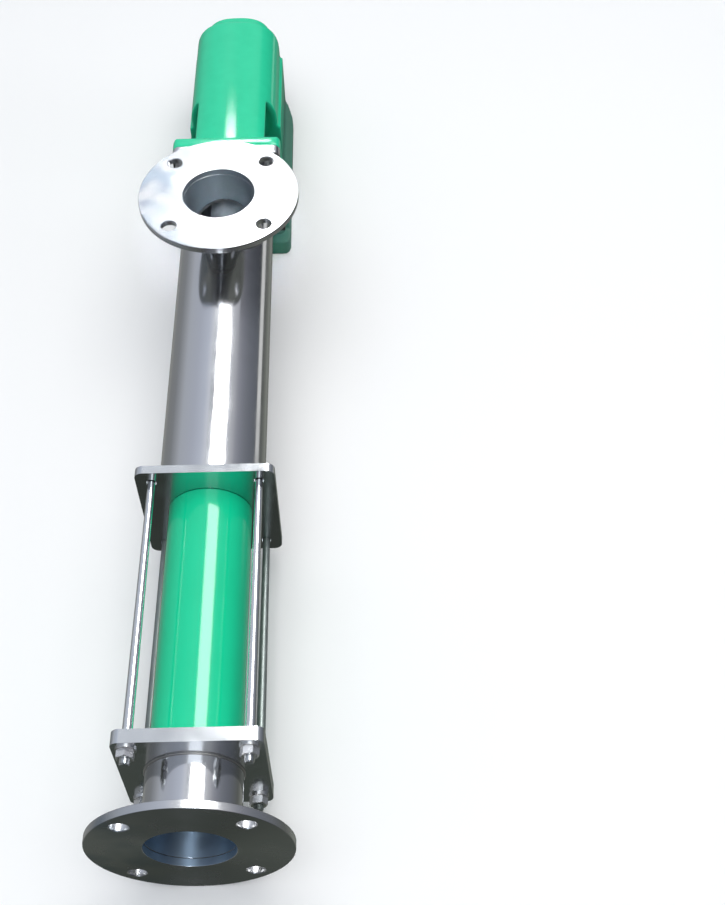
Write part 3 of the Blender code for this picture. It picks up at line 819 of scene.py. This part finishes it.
def fastener_tree():
    """A hexagon with both rims chamfered, bored or not, on a washer, at each point and square to its seat."""
    sockets = dict.fromkeys(FASTENER_SIZES, "NodeSocketFloat")
    sockets.update({"Bored": "NodeSocketBool", "Material": "NodeSocketMaterial"})
    tree, given = new_tree("hexagon_on_washer", sockets)
    across, height, bore, washer_radius, thick = [given[name] for name in FASTENER_SIZES]
    corner, face, down, depth, middle = [
        add(tree, "ShaderNodeMath", {0: size, 1: factor}, operation="MULTIPLY")
        for size, factor in ((across, 1 / math.sqrt(3)), (across, RIM_SHARE), (height, -0.5),
                             (height, 3.0), (thick, 0.5))]
    wide, seat = [
        add(tree, "ShaderNodeMath", {0: height, 1: factor, 2: start}, operation="MULTIPLY_ADD")
        for factor, start in ((RIM_SLOPE, face), (0.5, thick))]
    drop, lift, rest = [add(tree, "ShaderNodeCombineXYZ", {"Z": rise}) for rise in (down, seat, middle)]

    body = add(tree, "GeometryNodeMeshBoolean", operation="INTERSECT", solver="EXACT")
    add(tree, "GeometryNodeMeshCylinder", {"Vertices": 6, "Radius": corner, "Depth": height},
        {"Mesh": body.inputs["Mesh 2"]})
    for top, bottom in ((face, wide), (wide, face)):
        cone = add(tree, "GeometryNodeMeshCone",
                   {"Vertices": 48, "Radius Top": top, "Radius Bottom": bottom, "Depth": height})
        add(tree, "GeometryNodeTransform", {"Geometry": cone, "Translation": drop},
            {"Geometry": body.inputs["Mesh 2"]})
    drill = add(tree, "GeometryNodeMeshCylinder", {"Vertices": 32, "Radius": bore, "Depth": depth})
    disc = add(tree, "GeometryNodeMeshCylinder", {"Vertices": 48, "Radius": washer_radius, "Depth": thick})
    bored, washer = [
        add(tree, "GeometryNodeMeshBoolean", {"Mesh 1": whole, "Mesh 2": drill}, operation="DIFFERENCE",
            solver="EXACT") for whole in (body, disc)]
    hexagon = add(tree, "GeometryNodeSwitch", {"Switch": given["Bored"], "False": body, "True": bored},
                  input_type="GEOMETRY")
    pair = add(tree, "GeometryNodeJoinGeometry")
    for part, rise in ((hexagon, lift), (washer, rest)):
        add(tree, "GeometryNodeTransform", {"Geometry": part, "Translation": rise},
            {"Geometry": pair.inputs["Geometry"]})

    facing = add(tree, "GeometryNodeInputNamedAttribute", {"Name": "facing"}, data_type="FLOAT_VECTOR")
    square = add(tree, "FunctionNodeAlignRotationToVector", {"Vector": facing}, axis="Z")
    spin = add(tree, "FunctionNodeRandomValue", {3: math.pi / 3, "Seed": TURN_SEED}, data_type="FLOAT")
    twist = add(tree, "FunctionNodeAxisAngleToRotation", {"Axis": (0, 0, 1), "Angle": spin})
    turn = add(tree, "FunctionNodeRotateRotation", {"Rotation": square, "Rotate By": twist},
               rotation_space="LOCAL")
    placed = add(tree, "GeometryNodeInstanceOnPoints",
                 {"Points": given["Geometry"], "Instance": pair, "Rotation": turn})
    close_tree(tree, placed, given["Material"])
    return tree


def bead_tree():
    """A weld bead: a rounded rope along the path, with a ripple where each bead of metal froze."""
    tree, given = new_tree("rippled_weld_bead", {
        "Bead Radius": "NodeSocketFloat", "Ripple Pitch": "NodeSocketFloat",
        "Ripple Depth": "NodeSocketFloat", "Material": "NodeSocketMaterial",
    })
    pitch = given["Ripple Pitch"]
    step = add(tree, "ShaderNodeMath", {0: pitch, 1: 5.0}, operation="DIVIDE")
    path = add(tree, "GeometryNodeResampleCurve", {"Curve": given["Geometry"], "Length": step}, mode="LENGTH")
    swell = add(tree, "GeometryNodeSplineParameter").outputs["Length"]
    for operation, value in (("DIVIDE", pitch), ("MULTIPLY", math.pi), ("SINE", 0.0), ("ABSOLUTE", 0.0),
                             ("MULTIPLY", given["Ripple Depth"]), ("ADD", 1.0)):
        swell = add(tree, "ShaderNodeMath", {0: swell, 1: value}, operation=operation)
    section = add(tree, "GeometryNodeCurvePrimitiveCircle",
                  {"Resolution": 10, "Radius": given["Bead Radius"]})
    rope = add(tree, "GeometryNodeCurveToMesh", {"Curve": path, "Profile Curve": section, "Scale": swell})
    soft = add(tree, "GeometryNodeSetShadeSmooth", {"Geometry": rope})
    close_tree(tree, soft, given["Material"])
    return tree


def fasten(name, sizes, bored, facing, places):
    """Nuts or bolt heads on washers, at places on their seats and facing one way."""
    mesh = bpy.data.meshes.new(name + "_seats")
    mesh.from_pydata(places, [], [])
    for value in mesh.attributes.new("facing", "FLOAT_VECTOR", "POINT").data:
        value.vector = facing
    item = grow(name, mesh, hexagons,
                dict(zip(FASTENER_SIZES, sizes), Bored=bored, Material=bright_fasteners))
    wear(item, bright_fasteners, "stainless")


def weld(name, path, radius=BEAD_RADIUS):
    """A bead along a closed path."""
    curve = bpy.data.curves.new(name + "_path", "CURVE")
    curve.dimensions = "3D"
    spline = curve.splines.new("POLY")
    spline.points.add(len(path) - 1)
    for point, place in zip(spline.points, path):
        point.co = (*place, 1.0)
    spline.use_cyclic_u = True
    item = grow(name, curve, beads, {"Bead Radius": radius, "Ripple Pitch": BEAD_PITCH,
                                     "Ripple Depth": BEAD_RIPPLE, "Material": weld_metal})
    wear(item, weld_metal, "stainless")


# Stainless pieces

def make_flanges():
    rim = half_width("discharge_flange")
    for node, axis, center, dull, anisotropy, bore in (
            ("discharge_flange", "Y", AXIS, 0.26, 0.8, pipe_bore),
            ("suction_flange", "Z", PORT, 0.22, 0.75, neck_bore)):
        low, high = span(node, axis)
        flange = ring(node + "_turned", rim, PORT_RADIUS, low, high, edge=FLANGE_EDGE, axis=axis,
                      center=center, steps=192)
        cutters = []
        for quarter in range(4):
            angle = math.pi / 4 + quarter * math.pi / 2
            place = (center[0] + BOLT_CIRCLE_RADIUS * math.cos(angle),
                     center[1] + BOLT_CIRCLE_RADIUS * math.sin(angle))
            cutters.append(hole_cutter(f"hole_{quarter}", BOLT_HOLE_RADIUS, low, high, axis=axis,
                                       center=place))
        cut(flange, *cutters)
        steel = turned_flange_steel("turned_stainless_" + node, axis, center, dull, anisotropy)
        dress(flange, steel, "stainless", node)
        line_bore(flange, bore, PORT_RADIUS, axis, center)


def make_discharge_pipe():
    low, high = span("discharge_pipe")
    outer = half_width("discharge_pipe")
    pipe = ring("discharge_pipe_polished", outer, PORT_RADIUS, low, high, edge=TUBE_EDGE)
    dress(pipe, tube_steel, "stainless", "discharge_pipe")
    line_bore(pipe, pipe_bore, PORT_RADIUS)
    weld("weld_discharge_flange", circle(outer + PIPE_BEAD_LIFT, low + BEAD_SETBACK))
    weld("weld_discharge_plate", circle(outer, high - THIN_BEAD_SETBACK), THIN_BEAD_RADIUS)


def make_casing():
    """The casing with its port cut into it, and the neck that is cut to sit on it."""
    low, high = span("suction_casing")
    outer = half_width("suction_casing")
    casing = ring("suction_casing_polished", outer, outer - CASING_WALL, low, high, edge=TUBE_EDGE, steps=192)
    cut(casing, bar("casing_port", PORT_RADIUS, PORT_CUT_START, PORT_CUT_END, axis="Z", center=PORT))
    dress(casing, tube_steel, "stainless", "suction_casing")
    line_bore(casing, casing_bore, outer - CASING_WALL)
    weld("weld_casing_front", circle(outer + CASING_BEAD_LIFT, low + BEAD_SETBACK))
    weld("weld_casing_rear", circle(outer + CASING_BEAD_LIFT, high - BEAD_SETBACK))
    neck_outer = half_width("suction_neck")
    top = span("suction_neck", "Z")[1]
    neck = ring("suction_neck_polished", neck_outer, PORT_RADIUS, NECK_START, top, edge=TUBE_EDGE, axis="Z",
                center=PORT)
    cut(neck, bar("saddle", outer + GAP, SUCTION_Y - SADDLE_REACH, SUCTION_Y + SADDLE_REACH, steps=192))
    dress(neck, neck_steel, "stainless", "suction_neck")
    line_bore(neck, neck_bore, PORT_RADIUS, "Z", PORT)
    weld("weld_suction_flange", circle(neck_outer + PIPE_BEAD_LIFT, top - BEAD_SETBACK, "Z", PORT))
    saddle = [(x, y, AXIS_Z + math.sqrt(outer ** 2 - x ** 2) + SADDLE_BEAD_LIFT)
              for x, y, along in circle(neck_outer + SADDLE_BEAD_LIFT, 0, "Z", PORT)]
    weld("weld_suction_saddle", saddle, SADDLE_BEAD_RADIUS)


def make_plate(node, bore, rod_holes=True):
    """A rounded square plate with its bore and, where asked, its four rod holes."""
    low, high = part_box(node)
    corners = [(low.x, low.z), (high.x, low.z), (high.x, high.z), (low.x, high.z)]
    plate = slab(node + "_ground", rounded(corners, PLATE_CORNER, steps=8), low.y, high.y)
    start = low.y - 2 * MM
    end = high.y + 2 * MM
    cutters = [bar("bore", bore, start, end, steps=96)]
    if rod_holes:
        cutters += [bar(f"rod_hole_{x}_{z}", M10_RADIUS + GAP, start, end, center=(x, AXIS_Z + z), steps=32)
                    for x, z in ROD_PLACES]
    cut(plate, *cutters)
    dress(plate, plate_steel, "stainless", node, edge=PLATE_EDGE)


def threaded_bar(name, radius, low, high, thread, pitch, center):
    """A bar with its thread cut between two stations, and its ends chamfered."""
    depth = 0.6 * pitch
    samples = 8
    around = 28
    start, end = thread
    count = int((end - start) / pitch * samples)
    stations = {low, high, *[start + (end - start) * step / count for step in range(count + 1)]}
    rings = []
    for station in sorted(stations):
        groove = 0
        if start <= station <= end:
            groove = depth * min(1, (end - station) / pitch, (station - low) / pitch + 0.4)
        chamfer = max(0, THREAD_END_CHAMFER - min(station - low, high - station))
        points = []
        for step in range(around):
            angle = 2 * math.pi * step / around
            turn = station / pitch - step / around
            reach = radius - groove * (0.5 - 0.5 * math.cos(2 * math.pi * turn)) - chamfer
            points.append((center[0] + reach * math.cos(angle), station, center[1] + reach * math.sin(angle)))
        rings.append([points])
    return lofted(name, rings)


def make_tie_rods():
    thread_end = span("discharge_end_plate")[1] + THREAD_PAST_PLATE
    for side, x in (("left", -ROD_OFFSET), ("right", ROD_OFFSET)):
        # The lower rods take steel painted darker, as shade under the pump
        for level, offset, steel in (("lower", -ROD_OFFSET, dusty_steel), ("upper", ROD_OFFSET, rod_steel)):
            node = f"tie_rod_{level}_{side}"
            low, high = span(node)
            rod = threaded_bar(node + "_threaded", M10_RADIUS, low, high, (low, thread_end), M10_PITCH,
                               (x, AXIS_Z + offset))
            dress(rod, steel, "stainless", node, sharp=70)


def make_fasteners():
    front = span("discharge_end_plate")[0]
    fasten("tie_rod_nuts", M10_NUT, True, (0, -1, 0), [(x, front, AXIS_Z + z) for x, z in ROD_PLACES])
    front = span("casing_end_plate")[0]
    fasten("bracket_bolt_heads", M10_HEAD, False, (0, -1, 0), [(x, front, z) for x, z, seat in BRACKET_BOLTS])
    fasten("bracket_nuts", M10_NUT, True, (0, 1, 0), [(x, seat, z) for x, z, seat in BRACKET_BOLTS])
    for number, (x, z, seat) in enumerate(BRACKET_BOLTS, start=1):
        tip = seat + BOLT_END_LENGTH
        end = threaded_bar(f"bracket_bolt_end_{number}", M10_RADIUS, seat - BOLT_END_ROOT, tip, (seat, tip),
                           M10_PITCH, (x, z))
        dress(end, bright_fasteners, "stainless", sharp=70)
    back = span("rear_bearing_cover")[1]
    fasten("cover_screws", M6_HEAD, False, (0, 1, 0),
           [(x, back, AXIS_Z + z) for x in (-COVER_SCREW_X, COVER_SCREW_X)
            for z in (-COVER_SCREW_Z, COVER_SCREW_Z)])


# Stator, rotor and coupling

def make_stator():
    """The enamelled tube, and the rubber round a cavity with two rounded lobes that twists along it."""
    low, high = span("stator_tube")
    outer = half_width("stator_tube")
    tube = ring("stator_tube_enamelled", outer, outer - STATOR_WALL, low, high, edge=0.8 * MM)
    dress(tube, enamel, "stator_green", "stator_tube")
    sections = 120
    arc_steps = 20
    flat_steps = 8
    radius = ROTOR_RADIUS + CAVITY_CLEARANCE
    reach = 2 * ECCENTRICITY
    cavity = []
    for side in (1, -1):
        for step in range(arc_steps + 1):
            angle = math.pi * (step / arc_steps - 0.5)
            cavity.append(side * Vector((reach + radius * math.cos(angle), radius * math.sin(angle))))
        for step in range(1, flat_steps):
            cavity.append(side * Vector((reach * (1 - 2 * step / flat_steps), radius)))
    skin = outer - STATOR_WALL - GAP
    rings = []
    for step in range(sections + 1):
        station = low + (high - low) * step / sections
        twist = Matrix.Rotation(2 * math.pi * (station - low) / STATOR_LEAD, 2)
        inner = [twist @ point for point in cavity]
        outer_loop = [point.normalized() * skin for point in inner]
        rings.append([[(p.x, station, AXIS_Z + p.y) for p in loop] for loop in (outer_loop, inner)])
    dress(lofted("stator_rubber_moulded", rings), rubber_black, "black_rubber", "stator_rubber")


def make_rotor():
    """A round section that winds round the stator's axis twice as fast as the cavity twists."""
    low, high = span("rotor")
    start = span("stator_tube")[0]
    helix_end = high - ROTOR_TAIL
    sections = 180
    sides = 48
    rings = []
    for step in range(sections + 1):
        station = low + (helix_end - low) * step / sections
        angle = 4 * math.pi * (station - start) / STATOR_LEAD + math.pi / 2
        center = (ECCENTRICITY * math.cos(angle), AXIS_Z + ECCENTRICITY * (math.sin(angle) - 1))
        nose = max(0, ROTOR_NOSE - (station - low))
        rings.append([circle(ROTOR_RADIUS - nose, station, center=center, steps=sides)])
    for station in (helix_end + ROTOR_TAPER, high):
        rings.append([circle(ROTOR_TAIL_RADIUS, station, center=(0, AXIS_Z - ECCENTRICITY), steps=sides)])
    dress(lofted("rotor_ground", rings), chrome, "rotor_steel", "rotor", sharp=60)


def make_drive_train():
    for node in ("rotor_joint", "shaft_joint", "coupling_rod"):
        finish_node(node, coated_steel, "machined_steel", 0.4 * MM)
    for node in ("rotor_joint_pin", "shaft_joint_pin", "shaft_key"):
        finish_node(node, oiled_steel, "machined_steel", 0.4 * MM)
    low, high = span("drive_shaft")
    shaft = bar("drive_shaft_turned", SHAFT_RADIUS, low, high, edge=1.5 * MM, steps=96)
    key_low, key_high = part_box("shaft_key")
    keyway = slab("keyway", rectangle(half_width("shaft_key") + GAP, key_low.z - GAP, KEYWAY_TOP),
                  key_low.y - GAP, key_high.y + GAP)
    drill = turned("center_drill", [(radius, high + along) for radius, along in CENTER_DRILL], steps=32)
    cut(shaft, keyway, drill)
    dress(shaft, oiled_steel, "machined_steel", "drive_shaft", edge=0.3 * MM)


# Gland

def make_gland():
    finish_node("gland_box", plate_steel, "stainless", 0.8 * MM)
    finish_node("gland_follower", plate_steel, "stainless", 0.8 * MM)
    finish_node("gland_packing", packing, "graphite_packing", 0.6 * MM)
    finish_node("shaft_slinger", rubber_black, "black_rubber", 0.8 * MM)
    seat = span("gland_follower")[1]
    for side, x in (("left", -GLAND_STUD_OFFSET), ("right", GLAND_STUD_OFFSET)):
        node = f"gland_stud_{side}"
        low, high = span(node)
        stud = threaded_bar(node + "_threaded", GLAND_STUD_RADIUS, low, high, (low, high), M8_PITCH,
                            (x, AXIS_Z))
        dress(stud, rod_steel, "stainless", node, sharp=70)
    fasten("gland_nuts", M8_NUT, True, (0, 1, 0),
           [(x, seat, AXIS_Z) for x in (-GLAND_STUD_OFFSET, GLAND_STUD_OFFSET)])
    make_plate("casing_end_plate", SHAFT_BORE, rod_holes=False)


# Bearing bracket

def housing_outline(station, offset):
    """The housing's outline at a station, grown or shrunk all round by the offset: half round below the
    axis, and a lower crown with squarer shoulders above it."""
    half = HOUSING_HALF + offset
    crown = HOUSING_CROWN + offset
    power = 2 / HOUSING_SQUARENESS
    steps = 144
    points = []
    for step in range(steps):
        angle = 2 * math.pi * step / steps
        across = math.cos(angle)
        rise = math.sin(angle)
        if step < steps / 2:
            x = half * math.copysign(abs(across) ** power, across)
            z = crown * rise ** power
        else:
            x = half * across
            z = half * rise
        points.append((x, station, AXIS_Z + z))
    return points


def rounded_end(end, offset, radius, steps):
    """The housing's outline where it rounds off towards its end."""
    for step in range(steps + 1):
        angle = math.pi / 2 * step / steps
        station = end - radius * (1 - math.sin(angle))
        yield [housing_outline(station, offset - radius * (1 - math.cos(angle)))]


def make_housing():
    """The housing's solid: it flares out into the flange, and its far edge is rounded."""
    rings = [[housing_outline(LANTERN_START - BURY, HOUSING_FLARE)]]
    steps = 8
    for step in range(steps + 1):
        angle = math.pi / 2 * step / steps
        station = LANTERN_START + HOUSING_FLARE * (1 - math.cos(angle))
        rings.append([housing_outline(station, HOUSING_FLARE * (1 - math.sin(angle)))])
    rings += rounded_end(HOUSING_END, 0, HOUSING_ROUNDING, steps)
    return lofted("housing", rings)


def make_bracket():
    """The casting, grown together from its members, with its corners and joints rounded as cast."""
    flange_start = span("casing_end_plate")[1] + GAP
    outline = [(-FOOT_HALF, PLATE_LOW), (FOOT_HALF, PLATE_LOW), (PLATE_HALF, PLATE_TOP),
               (-PLATE_HALF, PLATE_TOP)]
    bracket = slab("bearing_bracket_cast", rounded(outline, PLATE_CORNER, steps=8), flange_start,
                   LANTERN_START)
    cheeks = slab("cheeks", rectangle(CHEEK_HALF, BURY, CHEEK_TOP), LANTERN_START - BURY, FOOT_END)
    hollow = slab("hollow", rectangle(CHEEK_HALF - CHEEK_WALL, -BURY, CHEEK_TOP + BURY),
                  LANTERN_START - 2 * BURY, FOOT_END + BURY)
    cut(cheeks, hollow)
    plan = [(-FOOT_HALF, FOOT_FRONT), (FOOT_HALF, FOOT_FRONT), (FOOT_HALF, FOOT_SHOULDER),
            (HEEL_HALF, FOOT_END), (-HEEL_HALF, FOOT_END), (-FOOT_HALF, FOOT_SHOULDER)]
    foot = slab("foot", rounded(plan, FOOT_CORNER, steps=6), 0, FOOT_THICK, axis="Z")
    toe_plan = rectangle(FOOT_HALF, FOOT_FRONT, LANTERN_START - BURY)
    toe = slab("toe", rounded(toe_plan, FOOT_CORNER, steps=6), FOOT_THICK / 2, TOE_THICK, axis="Z")
    cut(bracket, cheeks, make_housing(), foot, toe, operation="UNION")
    room_start = LANTERN_START + 1 * MM
    room = lofted("lantern_room", [[housing_outline(station, -SHELL_WALL)]
                                   for station in (room_start, LANTERN_END)])
    bore = bar("bore", BRACKET_BORE, flange_start - BURY, room_start + BURY)
    passage = bar("passage", SHAFT_BORE, LANTERN_END - BURY, HOUSING_END + BURY)
    windows = slab("windows", rectangle(CHEEK_HALF + BURY, WINDOW_LOW, WINDOW_HIGH),
                   LANTERN_START + WINDOW_INSET, LANTERN_END - WINDOW_INSET)
    spot_faces = [bar(f"spot_face_{x}_{z}", SPOT_FACE_RADIUS, seat, seat + SPOT_FACE_REACH, center=(x, z),
                      steps=48) for x, z, seat in BRACKET_BOLTS]
    cut(bracket, room, bore, passage, windows, *spot_faces)
    skin = bracket.modifiers.new("cast_skin", "REMESH")
    skin.mode = "VOXEL"
    skin.voxel_size = CAST_GRAIN
    fillets = bracket.modifiers.new("fillets", "SMOOTH")
    fillets.iterations = 5
    settle(bracket)
    cut(bracket, *[hole_cutter(f"hole_{x}_{station}", FOOT_HOLE_RADIUS, 0, FOOT_THICK, axis="Z",
                               center=(x, station))
                   for x in (-FOOT_HOLE_X, FOOT_HOLE_X) for station in FOOT_HOLE_STATIONS])
    dress(bracket, cast_enamel, "casting_green", "bearing_bracket", sharp=50)


def make_covers():
    """The rear cover, which follows the housing's outline, its lip seal, and the front cover."""
    seat = SHAFT_BORE + SEAL_WIDTH
    low, high = span("rear_bearing_cover")
    rings = [[housing_outline(low, -COVER_INSET)], *rounded_end(high, -COVER_INSET, COVER_EDGE, 6)]
    cover = lofted("rear_bearing_cover_cast", rings)
    cut(cover, bar("seal_seat", seat, low - 5 * MM, high + 5 * MM, steps=96))
    dress(cover, cast_enamel, "casting_green", "rear_bearing_cover")
    seal = ring("shaft_lip_seal", seat - 0.2 * MM, SHAFT_BORE, high - SEAL_DEPTH, high - SEAL_RECESS,
                edge=0.8 * MM, steps=96)
    dress(seal, rubber_black, "black_rubber")
    finish_node("front_bearing_cover", cast_enamel, "casting_green", 1.0 * MM)


aim_camera()
hang_lights()
build_studio()
lay_floor()

tube_steel = polished_tube_steel("polished_stainless_tube", "Y")
neck_steel = polished_tube_steel("polished_stainless_neck", "Z")
# Drawn bar, a little lighter than the tube: partly its own finish, partly painted light
rod_steel = polished_tube_steel("drawn_stainless_bar", "Y", "#D6D9DA", 0.03)
# The lower tie rods' steel is painted darker, as shade under the pump
dusty_steel = dusty_bar_steel()
plate_steel = ground_plate_steel()
# One pickled finish in three copies: painted bluish in the pipe as reflection, darker in the neck as shade,
# lighter in the casing as light
pipe_bore = pickled_bore_steel("pickled_stainless_pipe_bore", "#A9BFD2", 1.0, "Y")
neck_bore = pickled_bore_steel("pickled_stainless_neck_bore", "#7C878F", 0.6, "Z")
casing_bore = pickled_bore_steel("pickled_stainless_casing_bore", "#C6CDD2", 0.3, "Y")
weld_metal = weld_steel()
bright_fasteners = fastener_steel()
enamel = stator_enamel()
cast_enamel = casting_enamel()
chrome = chromed_rotor_steel()
oiled_steel = turned_steel()
coated_steel = phosphated_steel()
rubber_black = moulded_rubber()
packing = braided_packing()
hexagons = fastener_tree()
beads = bead_tree()

make_flanges()
make_discharge_pipe()
make_casing()
make_plate("discharge_end_plate", END_PLATE_BORE)
make_plate("suction_side_plate", SIDE_PLATE_BORE)
make_tie_rods()
make_fasteners()
make_stator()
make_rotor()
make_drive_train()
make_gland()
make_bracket()
make_covers()
